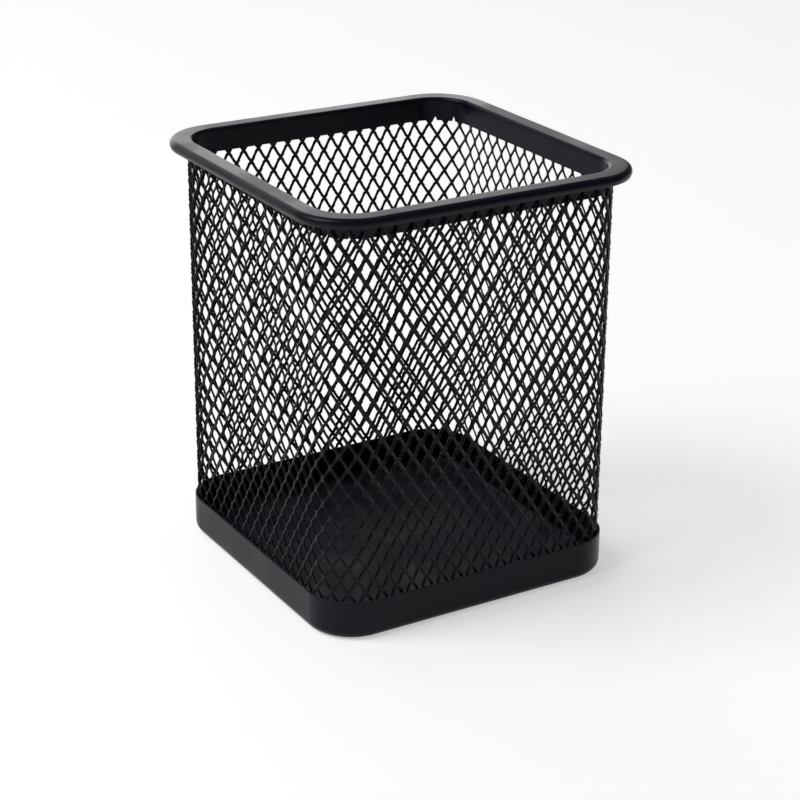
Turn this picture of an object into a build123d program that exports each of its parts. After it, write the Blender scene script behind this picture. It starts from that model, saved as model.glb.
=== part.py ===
# Square mesh pen cup: a pressed base pan, an expanded-steel sleeve and a pressed rim, all enamelled black.
# Origin at the middle of the underside, +Z up, front wall towards -Y.
import os
from math import hypot, pi

from build123d import *

# Whole cup, in millimetres
cup_height = 95.0

# Sheet steel of the rim and the pan, and the gap that stays between nested pieces
sheet = 0.5
clearance = 0.15

# Expanded-steel sleeve, bent square from one sheet
mesh_width = 73.0
mesh_depth = 0.7
strand_width = 0.7
wall_columns = 14
bend_columns = 4
mesh_rows = 16

# Base pan
pan_height = 9.0
pan_bottom_radius = 2.0

# Rim: a skirt inside the sleeve, a flange over its edge and a curl outside
rim_width = 80.0
rim_corner = 12.5
rim_edge_radius = 1.2
curl_drop = 2.2
skirt_depth = 5.5
mouth_edge_radius = 0.8
notch_width = 0.9
notch_height = 1.4
notch_angle = 15

# Cuts run this far past the faces that they open
overrun = 1.0

# Sleeve: whole columns of gaps fill each flat wall and each quarter-round bend
column_pitch = (mesh_width - mesh_depth) / (wall_columns + 4 * bend_columns / pi)
wall_length = wall_columns * column_pitch
bend_radius = bend_columns * column_pitch * 2 / pi
bend_outer = bend_radius + mesh_depth / 2
bend_inner = bend_radius - mesh_depth / 2
mesh_bottom = pan_bottom_radius + clearance
mesh_top = cup_height - sheet - clearance
mesh_height = mesh_top - mesh_bottom
mesh_middle = (mesh_top + mesh_bottom) / 2
row_pitch = mesh_height / mesh_rows

# A gap is the diamond between strand centre lines, less half a strand on each side
gap_share = 1 - strand_width * hypot(column_pitch, row_pitch) / (column_pitch * row_pitch)
gap_half_width = gap_share * column_pitch / 2
gap_half_height = gap_share * row_pitch / 2

# Pan and rim follow the sleeve
pan_width = mesh_width + 2 * (clearance + sheet)
pan_corner = bend_outer + clearance + sheet
skirt_width = mesh_width - 2 * (mesh_depth + clearance)
skirt_corner = bend_inner - clearance
mouth_width = skirt_width - 2 * sheet
mouth_corner = skirt_corner - sheet


def cut_gap(mode):
    """One diamond gap, upright, at each current location of the sketch."""
    Polygon(
        (gap_half_width, 0),
        (0, gap_half_height),
        (-gap_half_width, 0),
        (0, -gap_half_height),
        mode=mode,
    )


def finish(piece, name):
    """Label a piece and write it as its own file."""
    piece.part.label = name
    export_step(piece.part, f"parts/{name}.step")


os.makedirs("parts", exist_ok=True)

# Base pan: one pressed tray with upright walls, open at the top
with BuildPart() as base_pan:
    with BuildSketch():
        RectangleRounded(pan_width, pan_width, pan_corner)
    extrude(amount=pan_height)
    fillet(base_pan.edges().group_by(Axis.Z)[0], pan_bottom_radius)
    offset(amount=-sheet, openings=base_pan.faces().sort_by(Axis.Z)[-1])
finish(base_pan, "base_pan")

# Rim: the flange and its curl
with BuildPart() as top_rim:
    with BuildSketch(Plane.XY.offset(cup_height - curl_drop)):
        RectangleRounded(rim_width, rim_width, rim_corner)
    extrude(amount=curl_drop)
    fillet(top_rim.edges().group_by(Axis.Z)[-1], rim_edge_radius)
    # The hollow under the flange, rounded so that the sheet keeps its thickness in the curl
    with BuildSketch(Plane.XY.offset(cup_height - curl_drop)):
        RectangleRounded(rim_width - 2 * sheet, rim_width - 2 * sheet, rim_corner - sheet)
    extrude(amount=curl_drop - sheet, mode=Mode.SUBTRACT)
    under_flange = top_rim.faces().filter_by(GeomType.PLANE).sort_by(Axis.Z)[-2]
    fillet(under_flange.edges(), rim_edge_radius - sheet)
    # The skirt that hangs inside the sleeve, and the mouth through it
    with BuildSketch(Plane.XY.offset(cup_height - skirt_depth)):
        RectangleRounded(skirt_width, skirt_width, skirt_corner)
    extrude(amount=skirt_depth - sheet)
    with BuildSketch(Plane.XY.offset(cup_height - skirt_depth)):
        RectangleRounded(mouth_width, mouth_width, mouth_corner)
    extrude(amount=skirt_depth, mode=Mode.SUBTRACT)
    mouth_edges = top_rim.faces().sort_by(Axis.Z)[-1].inner_wires()[0].edges()
    fillet(mouth_edges, mouth_edge_radius)
    # Relief notches in the skirt, one on each side of the middle of each corner
    corner_axis = Vector(wall_length / 2, -wall_length / 2, cup_height - skirt_depth)
    for quarter in range(4):
        notch_planes = [
            Plane(
                origin=corner_axis.rotate(Axis.Z, 90 * quarter),
                x_dir=Vector(1, 0, 0).rotate(Axis.Z, 90 * quarter + turn),
                z_dir=Vector(0, -1, 0).rotate(Axis.Z, 90 * quarter + turn),
            )
            for turn in (45 - notch_angle, 45 + notch_angle)
        ]
        with BuildSketch(*notch_planes):
            Polygon(
                (-notch_width / 2, 0),
                (notch_width / 2, 0),
                (0, notch_height),
                align=(Align.CENTER, Align.MIN),
            )
        extrude(amount=skirt_corner + overrun, mode=Mode.SUBTRACT)
finish(top_rim, "top_rim")

# Flat wall of the sleeve: two interleaved grids of gaps, the outermost shared with the bends
wall_gaps = [
    *GridLocations(column_pitch, row_pitch, wall_columns + 1, mesh_rows),
    *GridLocations(column_pitch, row_pitch, wall_columns, mesh_rows - 1),
]
with BuildPart() as flat_wall:
    inner_face = Plane(
        origin=(0, mesh_depth - mesh_width / 2, mesh_middle),
        x_dir=(1, 0, 0),
        z_dir=(0, -1, 0),
    )
    with BuildSketch(inner_face):
        Rectangle(wall_length, mesh_height)
        with Locations(*wall_gaps):
            cut_gap(Mode.SUBTRACT)
    extrude(amount=mesh_depth, clean=False)

# Bend of the sleeve: a quarter ring with the same gaps cut towards its axis
with BuildPart() as corner_bend:
    with BuildSketch(Plane((wall_length / 2, -wall_length / 2, mesh_bottom))):
        Circle(bend_outer)
        Circle(bend_inner, mode=Mode.SUBTRACT)
        Rectangle(bend_outer, bend_outer, align=(Align.MIN, Align.MAX), mode=Mode.INTERSECT)
    extrude(amount=mesh_height)
    for first, rows in ((0, mesh_rows), (1, mesh_rows - 1)):
        gap_planes = [
            Plane(
                origin=(wall_length / 2, -wall_length / 2, mesh_middle),
                x_dir=Vector(1, 0, 0).rotate(Axis.Z, 45 * step / bend_columns),
                z_dir=Vector(0, -1, 0).rotate(Axis.Z, 45 * step / bend_columns),
            ).offset(bend_inner - overrun)
            for step in range(first, 2 * bend_columns + 1, 2)
        ]
        with BuildSketch(*gap_planes):
            with GridLocations(0, row_pitch, 1, rows):
                cut_gap(Mode.ADD)
        extrude(amount=mesh_depth + 2 * overrun, mode=Mode.SUBTRACT, clean=False)

# The sleeve goes once round: each wall and bend is the one before it, a quarter turn on
wall_names = ("front_mesh", "right_mesh", "back_mesh", "left_mesh")
bend_names = ("front_right_bend", "back_right_bend", "back_left_bend", "front_left_bend")
for quarter in range(4):
    with BuildPart() as mesh_wall:
        add(flat_wall.part, rotation=(0, 0, 90 * quarter), clean=False)
    finish(mesh_wall, wall_names[quarter])
    with BuildPart() as mesh_bend:
        add(corner_bend.part, rotation=(0, 0, 90 * quarter), clean=False)
    finish(mesh_bend, bend_names[quarter])
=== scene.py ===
from math import atan2, cos, pi, radians, sin, tan

import bmesh
import bpy
from mathutils import Matrix, Vector


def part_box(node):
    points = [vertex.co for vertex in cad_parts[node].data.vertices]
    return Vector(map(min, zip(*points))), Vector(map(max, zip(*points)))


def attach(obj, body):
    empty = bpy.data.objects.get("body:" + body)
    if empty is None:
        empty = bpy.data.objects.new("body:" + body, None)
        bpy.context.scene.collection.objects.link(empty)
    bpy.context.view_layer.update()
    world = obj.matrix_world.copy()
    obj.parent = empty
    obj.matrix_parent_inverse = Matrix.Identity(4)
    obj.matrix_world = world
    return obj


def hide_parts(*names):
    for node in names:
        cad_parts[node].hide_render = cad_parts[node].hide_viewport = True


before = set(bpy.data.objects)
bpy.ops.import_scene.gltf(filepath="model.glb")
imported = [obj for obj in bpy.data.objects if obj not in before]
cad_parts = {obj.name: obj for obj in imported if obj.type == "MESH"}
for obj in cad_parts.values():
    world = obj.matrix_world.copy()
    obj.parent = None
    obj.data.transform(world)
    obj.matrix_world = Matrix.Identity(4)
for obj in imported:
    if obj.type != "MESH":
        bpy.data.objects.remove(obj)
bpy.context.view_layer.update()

# Square mesh pen cup in black enamel: a pressed rim and a pressed pan, with a sleeve of expanded
# steel between them. Shapes are modelled in millimetres and scaled to the frame's metres when they
# are finished.
MM = 0.001

# Sheet steel, and the gap between nested pieces
sheet = 0.5
clearance = 0.15
sheet_edge_round = 0.16
sheet_edge_steps = 2
corner_steps = 30

# Base pan
pan_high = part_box("base_pan")[1] / MM
pan_half = pan_high.x
pan_height = pan_high.z
pan_bottom_radius = 2.0
pan_bottom_steps = 7

# Rim
rim_low, rim_high = (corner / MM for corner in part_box("top_rim"))
rim_half = rim_high.x
rim_top = rim_high.z
skirt_bottom = rim_low.z
rim_corner = 12.5
rim_edge_radius = 1.2
rim_edge_steps = 7
curl_drop = 2.2
curl_face = 0.2
curl_tuck = 0.3
curl_round = 0.12
curl_steps = 2
mouth_edge_radius = 0.8
mouth_edge_steps = 5
notch_angle = radians(15)
notch_height = 1.4

# Sleeve: upright zigzag strands that meet their neighbours at the bonds
wall_low, wall_high = (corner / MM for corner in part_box("front_mesh"))
wall_columns = 14
bend_columns = 4
sleeve_rows = 16
strand_width = 0.62
strand_tilt = radians(25)
strand_thickness = 0.42
strand_edge_round = 0.08
strand_edge_steps = 1
bond_width = 0.8
bond_tilt = radians(20)
bond_flare = 0.5

# Sleeve places that follow from the frame
wall_length = wall_high.x - wall_low.x
column_pitch = wall_length / wall_columns
sleeve_half = -(wall_low.y + wall_high.y) / 2
sleeve_height = wall_high.z - wall_low.z
sleeve_foot = wall_low.z
row_pitch = sleeve_height / sleeve_rows
bend_axis = wall_length / 2
bend_radius = sleeve_half - bend_axis

# Sections of a strand from one bond to the next: share of the rise, width, tilt and lift off the
# sleeve's middle. Past its own rise, a bond narrows to the strand over its flare.
bond_rise = bond_width / column_pitch
flare_rise = (1 + bond_flare) * bond_rise
bond_lift = bond_width / 2 * tan(bond_tilt)
strand_sections = (
    (0, bond_width, bond_tilt, 0),
    (bond_rise, bond_width, bond_tilt, bond_lift),
    (flare_rise, strand_width, strand_tilt, bond_lift / 2),
    (1 - flare_rise, strand_width, strand_tilt, -bond_lift / 2),
    (1 - bond_rise, bond_width, bond_tilt, -bond_lift),
)

# Pan and rim share the axes of the sleeve's bends
pan_corner = pan_half - bend_axis
mouth_half = -wall_high.y - clearance - sheet
mouth_corner = mouth_half - bend_axis

# Points nearer than this are one point
merge_distance = 0.002
# An edge that turns more than this is a sheet edge, to be rounded
sharp_angle = radians(50)
# The round corners of a ring stand back from its flat sides by less than this
ring_depth = rim_corner / 3
# Large faces lead the shading of the rounds beside them, as strongly as the modifier allows
flat_face_weight = 100

# Enamel: its shine, the relief of its skin, and where its noise passes from one gloss to the other
enamel_shine = 0.15
relief_strength = 0.35
relief_depth = 0.02
grain_share = 0.35
grain_detail = 2.0
peel_detail = 1.0
wave_detail = 1.0
mottle_detail = 3.0
mottle_range = (0.35, 0.65)

# Dust and painted light: how far up a face points to hold them, a patchy film, and specks in a few
# cells of a pattern
# The pale film is dust, and on the pan's floor it is also painted light; the specks are dust alone
dust_and_painted_light_colour = (0.085, 0.085, 0.1)
wiped_dust_roughness = 0.06
settled_dust_roughness = 1.2
dust_and_painted_light_facing = (0.6, 0.95)
film_scale = 90
film_detail = 4.0
film_range = (0.2, 0.7)
speck_choice = (0.93, 0.99)
speck_fade = (0.14, 0.05)

# Rubbed edges: chips in patches, on edges that the mesh marks from 0 to 1
EDGE_MARK = "rubbed_edge"
fold_rub = 0.2
foot_rub = 0.4
cut_edge_rub = 1.0
steel_colour = (0.3, 0.3, 0.3)
chip_detail = 3.0
chip_range = (0.6, 0.72)
patch_scale = 70
patch_detail = 1.0
patch_range = (0.45, 0.65)

# Floor: half its width in metres, and its drop below the cup, which keeps their faces apart
floor_half = 3.0
floor_drop = 0.05
floor_colour = (0.93, 0.93, 0.93)
floor_roughness = 0.9
floor_shine = 0.1
floor_glow = 0.47

# Studio: a low backdrop behind the cup, and a soft key light high on its left
WHITE = (1, 1, 1, 1)
backdrop_middle = radians(7)
backdrop_reach = radians(32.5)
backdrop_top = radians(17)
backdrop_fade = radians(21)
backdrop_edge = radians(4)
backdrop_level = 2.4
room_level = 0.12
key_azimuth = radians(-75)
key_elevation = radians(50)
key_distance = 2.4
key_size = 1.44
key_power = 32.0

# Camera, fitted to the photograph's square frame
camera_azimuth = radians(-31.0)
camera_elevation = radians(22.6)
camera_roll = radians(0.45)
camera_distance = 0.478
camera_near = camera_distance / 20
camera_lens = 95.4
sensor_width = 36.0
aim_right = 0.00106
aim_up = -0.0104


# Shapes


def start_shape():
    """An empty mesh whose vertices can be marked as rubbed."""
    bm = bmesh.new()
    bm.verts.layers.float.new(EDGE_MARK)
    return bm


def rounded_loop(bm, half, corner, height):
    """A square ring of edges with round corners, level at a height. Returns its edges."""
    plate = bmesh.ops.create_grid(
        bm, x_segments=1, y_segments=1, size=half, matrix=Matrix.Translation((0, 0, height))
    )
    bmesh.ops.bevel(
        bm,
        geom=plate["verts"],
        offset=corner,
        affect="VERTICES",
        segments=corner_steps,
        profile=0.5,
        material=-1,
    )
    face = next(f for f in bm.faces if abs(f.calc_center_median().z - height) < merge_distance)
    edges = face.edges[:]
    bmesh.ops.delete(bm, geom=[face], context="FACES_ONLY")
    return edges


def bridge(bm, *loops):
    """A band of faces from each ring of edges to the next."""
    for near, far in zip(loops, loops[1:]):
        bmesh.ops.bridge_loops(bm, edges=near + far)


def round_edges(bm, edges, radius, steps, mark=0.0):
    """Round some edges, and mark the middle of the round by how much it gets rubbed."""
    made = bmesh.ops.bevel(
        bm, geom=edges, offset=radius, affect="EDGES", segments=steps, profile=0.5, material=-1
    )
    layer = bm.verts.layers.float[EDGE_MARK]
    rounds = set(made["faces"])
    for v in made["verts"]:
        if rounds.issuperset(v.link_faces):
            v[layer] = mark


def edges_at(bm, half, height):
    """Edges of the ring at a height whose flat sides stand half from the middle."""
    return [
        e
        for e in bm.edges
        if all(abs(v.co.z - height) < merge_distance for v in e.verts)
        and all(max(abs(v.co.x), abs(v.co.y)) < half + merge_distance for v in e.verts)
        and all(max(abs(v.co.x), abs(v.co.y)) > half - ring_depth for v in e.verts)
    ]


def sheet_edges(bm, free_of=None):
    """Outer corners of a sheet's cut edges, less those between vertices marked in a layer."""
    return [
        e
        for e in bm.edges
        if e.is_convex
        and e.calc_face_angle(0) > sharp_angle
        and not (free_of and all(v[free_of] for v in e.verts))
    ]


def face_outwards(bm, outwards):
    """Turn all faces alike, so that most of them point the way that is outwards at their places."""
    bmesh.ops.recalc_face_normals(bm, faces=bm.faces)
    if sum(f.normal.dot(outwards(f.calc_center_median())) for f in bm.faces) < 0:
        bmesh.ops.reverse_faces(bm, faces=bm.faces)


def finish_piece(bm, name, node, material):
    """Make the mesh a piece, in metres, that stands for a node of the frame."""
    bmesh.ops.scale(bm, vec=(MM, MM, MM), verts=bm.verts)
    for face in bm.faces:
        face.smooth = True
    mesh = bpy.data.meshes.new(name)
    bm.to_mesh(mesh)
    bm.free()
    mesh.materials.append(material)
    piece = bpy.data.objects.new(name, mesh)
    bpy.context.scene.collection.objects.link(piece)
    weighted = piece.modifiers.new("even_shading", "WEIGHTED_NORMAL")
    weighted.weight = flat_face_weight
    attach(piece, "root")
    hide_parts(node)


def press_pan(material):
    """Base pan: a shallow tray with upright walls and a rounded bottom edge."""
    bm = start_shape()
    lip = rounded_loop(bm, pan_half, pan_corner, pan_height)
    foot = rounded_loop(bm, pan_half, pan_corner, 0)
    bridge(bm, lip, foot)
    bmesh.ops.contextual_create(bm, geom=edges_at(bm, pan_half, 0))
    face_outwards(bm, lambda place: Vector((place.x, place.y, -pan_half)))
    bottom_edge = edges_at(bm, pan_half, 0)
    round_edges(bm, bottom_edge, pan_bottom_radius, pan_bottom_steps, foot_rub)
    bmesh.ops.solidify(bm, geom=bm.faces[:], thickness=sheet)
    round_edges(bm, sheet_edges(bm), sheet_edge_round, sheet_edge_steps, cut_edge_rub)
    finish_piece(bm, "pan_pressing", "base_pan", material)


def cut_notches(bm):
    """Relief notches in the skirt's lower edge, one on each side of the middle of each corner."""
    tips = []
    for v in bm.verts:
        across, along = (abs(place) - bend_axis for place in v.co.xy)
        from_middle = abs(atan2(along, across) - pi / 4)
        in_corner = min(across, along) > 0 and v.co.z < skirt_bottom + merge_distance
        if in_corner and abs(from_middle - notch_angle) * mouth_corner < merge_distance:
            tips.append(v)
    bmesh.ops.translate(bm, verts=tips, vec=(0, 0, notch_height))


def press_rim(material):
    """Rim: an outer curl, a flat flange and a skirt that hangs inside the sleeve."""
    bm = start_shape()
    curl_turn = rim_top - rim_edge_radius - curl_face
    bridge(
        bm,
        rounded_loop(bm, rim_half - curl_tuck, rim_corner - curl_tuck, rim_top - curl_drop),
        rounded_loop(bm, rim_half, rim_corner, curl_turn),
    )
    bridge(bm, edges_at(bm, rim_half, curl_turn), rounded_loop(bm, rim_half, rim_corner, rim_top))
    mouth = rounded_loop(bm, mouth_half, mouth_corner, rim_top)
    bridge(bm, edges_at(bm, rim_half, rim_top), mouth)
    bridge(bm, mouth, rounded_loop(bm, mouth_half, mouth_corner, skirt_bottom))
    face_outwards(bm, lambda place: Vector((0, 0, 1)))
    cut_notches(bm)
    round_edges(bm, edges_at(bm, rim_half, curl_turn), curl_round, curl_steps)
    for half, radius, steps in (
        (rim_half, rim_edge_radius, rim_edge_steps),
        (mouth_half, mouth_edge_radius, mouth_edge_steps),
    ):
        round_edges(bm, edges_at(bm, half, rim_top), radius, steps, fold_rub)
    bmesh.ops.solidify(bm, geom=bm.faces[:], thickness=sheet)
    round_edges(bm, sheet_edges(bm), sheet_edge_round, sheet_edge_steps, cut_edge_rub)
    finish_piece(bm, "rim_pressing", "top_rim", material)


def add_strand(bm, along, lean):
    """One strand in wall coordinates: x along the wall, y outwards, z up from the sleeve's foot."""
    steps = 2 * sleeve_rows * len(strand_sections)
    # A strand swings a quarter column to each side, and starts as a strip of one unit by one
    reach = column_pitch / 4
    strip = bmesh.ops.create_grid(bm, x_segments=1, y_segments=steps, size=0.5)
    for v in strip["verts"]:
        half_row, part = divmod(round((v.co.y + 0.5) * steps), len(strand_sections))
        rise, width, tilt, lift = strand_sections[part]
        way = lean * (-1) ** half_row
        middle = way * reach * (2 * rise - 1)
        place = min(max(middle + v.co.x * width, -reach), reach)
        depth = (place - middle) * tan(tilt) + way * lift
        v.co = (along + place, depth, (half_row + rise) * row_pitch / 2)


def on_wall(place):
    """Where a point in wall coordinates lies on the front wall."""
    return Vector((place.x, -sleeve_half - place.y, sleeve_foot + place.z))


def on_bend(place):
    """Where a point in wall coordinates lies on the front right bend."""
    angle = place.x / bend_radius - pi / 4
    radius = bend_radius + place.y
    return Vector(
        (bend_axis + radius * cos(angle), radius * sin(angle) - bend_axis, sleeve_foot + place.z)
    )


def weave(name, node, columns, on_path, quarter, material):
    """A stretch of the sleeve, woven flat, laid on its path and turned to its side of the cup."""
    bm = start_shape()
    at_end = bm.verts.layers.int.new("at_end")
    length = columns * column_pitch
    for strand in range(2 * columns):
        along = (strand + 0.5) * column_pitch / 2 - length / 2
        add_strand(bm, along, 1 if strand % 2 == 0 else -1)
    half_thickness = Vector((-sin(strand_tilt), cos(strand_tilt), 0)) * strand_thickness / 2
    for v in bm.verts:
        v[at_end] = abs(abs(v.co.x) - length / 2) < merge_distance
        v.co = on_path(v.co + half_thickness)
    bmesh.ops.remove_doubles(bm, verts=bm.verts, dist=merge_distance)
    face_outwards(bm, lambda place: Vector((place.x, place.y, 0)))
    bmesh.ops.solidify(bm, geom=bm.faces[:], thickness=strand_thickness)
    round_edges(bm, sheet_edges(bm, at_end), strand_edge_round, strand_edge_steps, cut_edge_rub)
    bmesh.ops.rotate(bm, verts=bm.verts, matrix=Matrix.Rotation(quarter * pi / 2, 3, "Z"))
    finish_piece(bm, name, node, material)


# Finishes


def set_inputs(node, **values):
    """Set a node's inputs by name; an underscore in a name stands for a space."""
    for name, value in values.items():
        node.inputs[name.replace("_", " ")].default_value = value


def feed(tree, socket, value):
    """Give an input a number, or link it to another node's output."""
    if isinstance(value, (int, float)):
        socket.default_value = value
    else:
        tree.links.new(value, socket)


def spread(tree, source, low, high, to_low=0.0, to_high=1.0):
    """Carry a value from low..high smoothly over to another range."""
    node = tree.nodes.new("ShaderNodeMapRange")
    node.interpolation_type = "SMOOTHSTEP"
    set_inputs(node, From_Min=low, From_Max=high, To_Min=to_low, To_Max=to_high)
    tree.links.new(source, node.inputs["Value"])
    return node.outputs["Result"]


def combine(tree, operation, first, second):
    """Join two values, each a socket or a number."""
    node = tree.nodes.new("ShaderNodeMath")
    node.operation = operation
    feed(tree, node.inputs[0], first)
    feed(tree, node.inputs[1], second)
    return node.outputs["Value"]


def tint(tree, mask, base, over):
    """Lay a colour over another by a mask; the base may be a socket."""
    node = tree.nodes.new("ShaderNodeMix")
    node.data_type = "RGBA"
    tree.links.new(mask, node.inputs["Factor"])
    lower, upper = (i for i in node.inputs if i.type == "RGBA")
    if isinstance(base, tuple):
        lower.default_value = (*base, 1)
    else:
        tree.links.new(base, lower)
    upper.default_value = (*over, 1)
    return next(o for o in node.outputs if o.type == "RGBA")


def noise(tree, place, scale, detail):
    """Cloudy values; the scale is in cycles to the metre, a number or a socket."""
    node = tree.nodes.new("ShaderNodeTexNoise")
    set_inputs(node, Detail=detail)
    tree.links.new(place, node.inputs["Vector"])
    feed(tree, node.inputs["Scale"], scale)
    return node.outputs["Fac"]


def new_effect(name, inputs, outputs):
    """An empty node group with named values in and out. Returns it with its two ends."""
    tree = bpy.data.node_groups.new(name, "ShaderNodeTree")
    for in_out, sockets in (("INPUT", inputs), ("OUTPUT", outputs)):
        for socket in sockets:
            tree.interface.new_socket(socket, in_out=in_out, socket_type="NodeSocketFloat")
    given = tree.nodes.new("NodeGroupInput").outputs
    result = tree.nodes.new("NodeGroupOutput").inputs
    return tree, given, result


def baked_enamel_effect():
    """Baked enamel: a fine grain, a faint orange peel, sheet that waves, and patches of gloss."""
    tree, given, result = new_effect(
        "baked_enamel",
        ("Grain Scale", "Peel Scale", "Wave Scale", "Wave", "Mottle Scale"),
        ("Height", "Mottle"),
    )
    place = tree.nodes.new("ShaderNodeTexCoord").outputs["Object"]
    grain = noise(tree, place, given["Grain Scale"], grain_detail)
    peel = noise(tree, place, given["Peel Scale"], peel_detail)
    wave = noise(tree, place, given["Wave Scale"], wave_detail)
    mottle = noise(tree, place, given["Mottle Scale"], mottle_detail)
    skin = combine(tree, "ADD", combine(tree, "MULTIPLY", grain, grain_share), peel)
    waves = combine(tree, "MULTIPLY", wave, given["Wave"])
    tree.links.new(combine(tree, "ADD", skin, waves), result["Height"])
    tree.links.new(spread(tree, mottle, *mottle_range), result["Mottle"])
    return tree


def dust_and_painted_light_effect():
    """Dust and painted light on what faces up: a thin patchy film, partly painted light, and a few
    dust specks.
    """
    tree, given, result = new_effect("dust_and_painted_light", ("Film", "Specks", "Speck Scale"), ("Mask",))
    place = tree.nodes.new("ShaderNodeTexCoord").outputs["Object"]
    facing = tree.nodes.new("ShaderNodeNewGeometry").outputs["Normal"]
    split = tree.nodes.new("ShaderNodeSeparateXYZ")
    tree.links.new(facing, split.inputs["Vector"])
    # Up-facing faces take the pale film, which is dust and, on the pan's floor, painted light
    upward = spread(tree, split.outputs["Z"], *dust_and_painted_light_facing)
    patches = spread(tree, noise(tree, place, film_scale, film_detail), *film_range)
    film = combine(tree, "MULTIPLY", patches, given["Film"])
    cells = tree.nodes.new("ShaderNodeTexVoronoi")
    tree.links.new(place, cells.inputs["Vector"])
    tree.links.new(given["Speck Scale"], cells.inputs["Scale"])
    draw = tree.nodes.new("ShaderNodeSeparateColor")
    tree.links.new(cells.outputs["Color"], draw.inputs["Color"])
    chosen = spread(tree, draw.outputs["Red"], *speck_choice)
    speck = combine(tree, "MULTIPLY", chosen, spread(tree, cells.outputs["Distance"], *speck_fade))
    specks = combine(tree, "MULTIPLY", speck, given["Specks"])
    dust_and_light = combine(tree, "ADD", film, specks)
    tree.links.new(combine(tree, "MULTIPLY", upward, dust_and_light), result["Mask"])
    return tree


def edge_rub_effect():
    """Small chips and rubbed spots along the edges that the mesh marks."""
    tree, given, result = new_effect("edge_rub", ("Amount", "Chip Scale"), ("Mask",))
    place = tree.nodes.new("ShaderNodeTexCoord").outputs["Object"]
    marked = tree.nodes.new("ShaderNodeAttribute")
    marked.attribute_name = EDGE_MARK
    chips = spread(tree, noise(tree, place, given["Chip Scale"], chip_detail), *chip_range)
    patches = spread(tree, noise(tree, place, patch_scale, patch_detail), *patch_range)
    worn = combine(tree, "MULTIPLY", chips, patches)
    edge = combine(tree, "MULTIPLY", marked.outputs["Fac"], given["Amount"])
    tree.links.new(combine(tree, "MULTIPLY", worn, edge), result["Mask"])
    return tree


def place_effect(tree, effect, **values):
    """An effect in a material, with its own values. Returns what it puts out."""
    node = tree.nodes.new("ShaderNodeGroup")
    node.node_tree = effect
    set_inputs(node, **values)
    return node.outputs


def enamel(name, colour, worn_colour, gloss, coat, dust_and_light, dust_roughness, rub):
    """Black enamel: two colours, a gloss range, and the values of its coat, its dust and painted
    light, and its edge rub.
    """
    material = bpy.data.materials.new(name)
    material.use_nodes = True
    tree = material.node_tree
    shader = tree.nodes["Principled BSDF"]
    set_inputs(shader, Specular_IOR_Level=enamel_shine)
    skin = place_effect(tree, effects["coat"], **coat)
    dust_and_light_mask = place_effect(tree, effects["dust_and_light"], **dust_and_light)["Mask"]
    rubbed = place_effect(tree, effects["rub"], **rub)["Mask"]
    painted = tint(tree, skin["Mottle"], colour, worn_colour)
    # Pale dust over the enamel, and painted light where the film lies thick on the pan's floor
    dusted_and_lit = tint(tree, dust_and_light_mask, painted, dust_and_painted_light_colour)
    tree.links.new(tint(tree, rubbed, dusted_and_lit, steel_colour), shader.inputs["Base Color"])
    clean_roughness = spread(tree, skin["Mottle"], 0, 1, *gloss)
    added_roughness = combine(tree, "MULTIPLY", dust_and_light_mask, dust_roughness)
    roughness = combine(tree, "ADD", clean_roughness, added_roughness)
    tree.links.new(roughness, shader.inputs["Roughness"])
    bump = tree.nodes.new("ShaderNodeBump")
    set_inputs(bump, Strength=relief_strength, Distance=relief_depth * MM)
    tree.links.new(skin["Height"], bump.inputs["Height"])
    tree.links.new(bump.outputs["Normal"], shader.inputs["Normal"])
    return material


# Stage


def pale_floor():
    """A plain pale floor that looks white to the camera and in the enamel, and keeps the shadow."""
    bm = bmesh.new()
    below_cup = Matrix.Translation((0, 0, -floor_drop * MM))
    bmesh.ops.create_grid(bm, x_segments=1, y_segments=1, size=floor_half, matrix=below_cup)
    mesh = bpy.data.meshes.new("floor")
    bm.to_mesh(mesh)
    bm.free()
    material = bpy.data.materials.new("pale_floor")
    material.use_nodes = True
    tree = material.node_tree
    shader = tree.nodes["Principled BSDF"]
    set_inputs(
        shader,
        Base_Color=(*floor_colour, 1),
        Roughness=floor_roughness,
        Specular_IOR_Level=floor_shine,
        Emission_Color=WHITE,
    )
    ray = tree.nodes.new("ShaderNodeLightPath").outputs
    straight = combine(tree, "ADD", ray["Is Camera Ray"], ray["Is Transmission Ray"])
    seen = combine(tree, "ADD", straight, ray["Is Glossy Ray"])
    tree.links.new(combine(tree, "MULTIPLY", seen, floor_glow), shader.inputs["Emission Strength"])
    mesh.materials.append(material)
    floor = bpy.data.objects.new("floor", mesh)
    bpy.context.scene.collection.objects.link(floor)


def heading(azimuth, elevation):
    """The way to a place in the studio: its turn from the back to the right, and its elevation."""
    return Vector(
        (sin(azimuth) * cos(elevation), cos(azimuth) * cos(elevation), sin(elevation))
    )


def softbox(name, azimuth, elevation, distance, size, power):
    """A square soft light that faces the cup."""
    light = bpy.data.lights.new(name, "AREA")
    light.shape = "SQUARE"
    light.size = size
    light.energy = power
    lamp = bpy.data.objects.new(name, light)
    way = heading(azimuth, elevation)
    lamp.location = way * distance
    lamp.rotation_euler = (-way).to_track_quat("-Z", "Y").to_euler()
    lamp.visible_camera = False
    bpy.context.scene.collection.objects.link(lamp)


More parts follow.
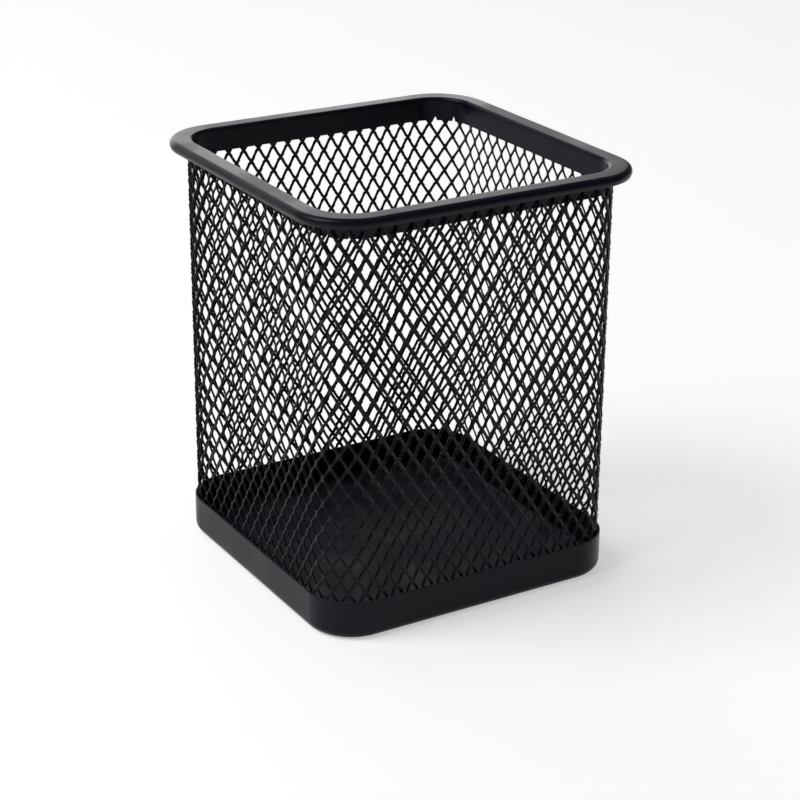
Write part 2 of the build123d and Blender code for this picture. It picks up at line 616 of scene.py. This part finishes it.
def studio_world():
    """A dim room with a low white backdrop behind the cup."""
    world = bpy.data.worlds.new("studio")
    world.use_nodes = True
    tree = world.node_tree
    background = tree.nodes["Background"]
    way = tree.nodes.new("ShaderNodeTexCoord").outputs["Generated"]
    split = tree.nodes.new("ShaderNodeSeparateXYZ")
    tree.links.new(way, split.inputs["Vector"])
    low = spread(tree, split.outputs["Z"], sin(backdrop_top + backdrop_fade), sin(backdrop_top))
    toward = tree.nodes.new("ShaderNodeVectorMath")
    toward.operation = "DOT_PRODUCT"
    tree.links.new(way, toward.inputs[0])
    toward.inputs[1].default_value = heading(backdrop_middle, 0)
    outer_edge = cos(backdrop_reach + backdrop_edge)
    inner_edge = cos(backdrop_reach - backdrop_edge)
    side = spread(tree, toward.outputs["Value"], outer_edge, inner_edge)
    backdrop = combine(tree, "MULTIPLY", low, side)
    level = spread(tree, backdrop, 0, 1, room_level, backdrop_level)
    tree.links.new(level, background.inputs["Strength"])
    set_inputs(background, Color=WHITE)
    bpy.context.scene.world = world


def photo_camera():
    """A camera that sees the cup as the photograph does."""
    back = Vector(
        (
            sin(camera_azimuth) * cos(camera_elevation),
            -cos(camera_azimuth) * cos(camera_elevation),
            sin(camera_elevation),
        )
    )
    level_right = Vector((cos(camera_azimuth), sin(camera_azimuth), 0))
    level_up = back.cross(level_right)
    right = cos(camera_roll) * level_right + sin(camera_roll) * level_up
    up = cos(camera_roll) * level_up - sin(camera_roll) * level_right
    data = bpy.data.cameras.new("photo_camera")
    data.lens = camera_lens
    data.sensor_width = sensor_width
    data.clip_start = camera_near
    camera = bpy.data.objects.new("photo_camera", data)
    aim = Vector((0, 0, rim_top * MM / 2)) + right * aim_right + up * aim_up
    camera.matrix_world = Matrix((right, up, back)).transposed().to_4x4()
    camera.location = aim + back * camera_distance
    bpy.context.scene.collection.objects.link(camera)
    bpy.context.scene.camera = camera


# The cup and its studio

effects = {
    "coat": baked_enamel_effect(),
    "dust_and_light": dust_and_painted_light_effect(),
    "rub": edge_rub_effect(),
}
sheet_finish = {
    "colour": (0.0042, 0.0044, 0.0115),
    "worn_colour": (0.006, 0.0063, 0.0145),
    "gloss": (0.27, 0.38),
    "coat": {
        "Grain_Scale": 4500,
        "Peel_Scale": 650,
        "Wave_Scale": 60,
        "Wave": 6,
        "Mottle_Scale": 55,
    },
    "rub": {"Amount": 0.8, "Chip_Scale": 900},
}
# Hands wipe the rim, and dust stays on the pan's floor, whose thicker film is also painted light
rim_enamel = enamel(
    "rim_enamel",
    dust_and_light={"Film": 0.12, "Specks": 0.5, "Speck_Scale": 260},
    dust_roughness=wiped_dust_roughness,
    **sheet_finish,
)
pan_enamel = enamel(
    "pan_enamel",
    # A thick film on the pan's floor: dust, and painted light that falls there
    dust_and_light={"Film": 0.4, "Specks": 0.5, "Speck_Scale": 260},
    dust_roughness=settled_dust_roughness,
    **sheet_finish,
)
mesh_enamel = enamel(
    "mesh_enamel",
    colour=(0.0042, 0.0044, 0.0085),
    worn_colour=(0.006, 0.0063, 0.0115),
    gloss=(0.32, 0.4),
    coat={
        "Grain_Scale": 5500,
        "Peel_Scale": 900,
        "Wave_Scale": 60,
        "Wave": 0,
        "Mottle_Scale": 120,
    },
    dust_and_light={"Film": 0.05, "Specks": 0.0, "Speck_Scale": 260},
    dust_roughness=wiped_dust_roughness,
    rub={"Amount": 0.25, "Chip_Scale": 1400},
)

press_pan(pan_enamel)
press_rim(rim_enamel)
for quarter, (wall, bend) in enumerate(
    (
        ("front_mesh", "front_right_bend"),
        ("right_mesh", "back_right_bend"),
        ("back_mesh", "back_left_bend"),
        ("left_mesh", "front_left_bend"),
    )
):
    weave(wall + "_strands", wall, wall_columns, on_wall, quarter, mesh_enamel)
    weave(bend + "_strands", bend, bend_columns, on_bend, quarter, mesh_enamel)

pale_floor()
studio_world()
softbox("key_softbox", key_azimuth, key_elevation, key_distance, key_size, key_power)
photo_camera()
bpy.context.scene.view_settings.view_transform = "Standard"
